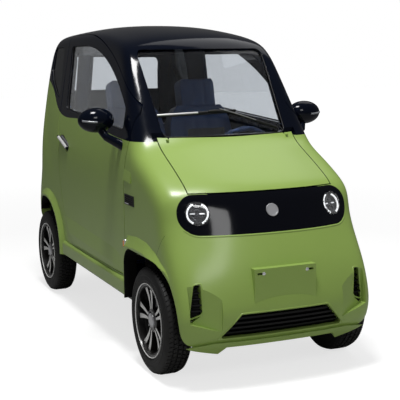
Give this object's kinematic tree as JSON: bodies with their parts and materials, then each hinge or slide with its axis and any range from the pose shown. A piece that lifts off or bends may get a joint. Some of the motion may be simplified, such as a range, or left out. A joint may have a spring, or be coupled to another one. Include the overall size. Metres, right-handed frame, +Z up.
{
  "type": "microcar",
  "caption": "Small closed four-wheel electric car with two side doors, bonnet, tailgate, steered front wheels and a hollow cabin with seats.",
  "frame": {"origin": "on the ground under the middle of the car's box", "axes": "+Z up, -Y towards the nose, +X towards the car's left side"},
  "size_m": [1.336, 2.5437, 1.6164],
  "materials": {
    "body_paint": "smooth leaf green paint under clear coat",
    "gloss_black": "high gloss black",
    "matte_black": "fine grained black moulding",
    "clear_glass": "clear toughened glass",
    "dark_glass": "dark tinted glass",
    "lamp_glass": "clear lamp lens over dark bowl",
    "amber_lens": "amber lens",
    "red_lens": "ribbed red lens",
    "chassis_steel": "black coated sheet and tube steel",
    "battery_case": "grey coated steel case",
    "bare_steel": "machined steel",
    "wheel_alloy": "machined face with black pockets",
    "tyre": "black rubber with road tread",
    "seat_leather": "dark blue-black stitched upholstery"
  },
  "bodies": {
    "body": {"floor_pan": "chassis_steel", "battery_block": "battery_case", "rear_axle": "chassis_steel", "front_axle": "chassis_steel", "sills": "body_paint", "quarter_left": "body_paint", "quarter_right": "body_paint", "fender_left": "body_paint", "fender_right": "body_paint", "front_bumper": "body_paint", "bumper_grille": "matte_black", "plate_holder": "body_paint", "lamp_panel": "gloss_black", "headlamps": "lamp_glass", "tail_lamps": "red_lens", "fender_trims": "matte_black", "side_markers": "amber_lens", "rear_bumper": "body_paint", "roof": "gloss_black", "windscreen": "clear_glass", "quarter_glass": "dark_glass", "wiper": "matte_black", "dashboard": "matte_black", "front_seats": "seat_leather", "rear_bench": "seat_leather"},
    "door_left": {"door_left": "body_paint", "door_frame_left": "gloss_black", "door_glass_left": "clear_glass", "door_handle_left": "gloss_black", "mirror_left": "gloss_black"},
    "knuckle_left": {"knuckle_left": "bare_steel"},
    "wheel_front_left": {"tyre_front_left": "tyre", "rim_front_left": "wheel_alloy"},
    "wheel_rear_left": {"tyre_rear_left": "tyre", "rim_rear_left": "wheel_alloy"},
    "door_right": {"door_right": "body_paint", "door_frame_right": "gloss_black", "door_glass_right": "clear_glass", "door_handle_right": "gloss_black", "mirror_right": "gloss_black"},
    "knuckle_right": {"knuckle_right": "bare_steel"},
    "wheel_front_right": {"tyre_front_right": "tyre", "rim_front_right": "wheel_alloy"},
    "wheel_rear_right": {"tyre_rear_right": "tyre", "rim_rear_right": "wheel_alloy"},
    "bonnet": {"bonnet": "body_paint"},
    "tailgate": {"tailgate": "body_paint", "rear_window": "clear_glass"},
    "steering_wheel": {"steering_wheel": "matte_black"}
  },
  "joints": [
    {"name": "steering_left", "type": "hinge", "parent": "body", "child": "knuckle_left", "pos_m": [0.4, -0.8886, 0.18], "axis": [-0.1609, 0, 0.987], "range_deg": [-30, 30]},
    {"name": "steering_right", "type": "hinge", "parent": "body", "child": "knuckle_right", "pos_m": [-0.4, -0.8886, 0.18], "axis": [0.1609, 0, 0.987], "range_deg": [-30, 30]},
    {"name": "steering_wheel_turn", "type": "hinge", "parent": "body", "child": "steering_wheel", "pos_m": [0.21, -0.3636, 0.92], "axis": [0, 0.8829, 0.4695], "range_deg": [-480, 480]},
    {"name": "door_left_hinge", "type": "hinge", "parent": "body", "child": "door_left", "pos_m": [0.477, -0.4756, 0.65], "axis": [0, 0, -1], "range_deg": [0, 65]},
    {"name": "door_right_hinge", "type": "hinge", "parent": "body", "child": "door_right", "pos_m": [-0.477, -0.4756, 0.65], "axis": [0, 0, 1], "range_deg": [0, 65]},
    {"name": "bonnet_hinge", "type": "hinge", "parent": "body", "child": "bonnet", "pos_m": [0, -0.65927, 1.05079], "axis": [-1, 0, 0], "range_deg": [0, 45]},
    {"name": "tailgate_hinge", "type": "hinge", "parent": "body", "child": "tailgate", "pos_m": [0, 1.02889, 1.5325], "axis": [1, 0, 0], "range_deg": [0, 75]},
    {"name": "wheel_front_left_spin", "type": "hinge", "parent": "knuckle_left", "child": "wheel_front_left", "pos_m": [0.448, -0.8886, 0.25], "axis": [1, 0, 0], "continuous": true},
    {"name": "wheel_front_right_spin", "type": "hinge", "parent": "knuckle_right", "child": "wheel_front_right", "pos_m": [-0.448, -0.8886, 0.25], "axis": [1, 0, 0], "continuous": true},
    {"name": "wheel_rear_left_spin", "type": "hinge", "parent": "body", "child": "wheel_rear_left", "pos_m": [0.448, 0.9254, 0.25], "axis": [1, 0, 0], "continuous": true},
    {"name": "wheel_rear_right_spin", "type": "hinge", "parent": "body", "child": "wheel_rear_right", "pos_m": [-0.448, 0.9254, 0.25], "axis": [1, 0, 0], "continuous": true}
  ],
  "couplings": [
    {"joint": "steering_left", "follows": "steering_right", "ratio": 1},
    {"joint": "steering_wheel_turn", "follows": "steering_right", "ratio": 15}
  ]
}
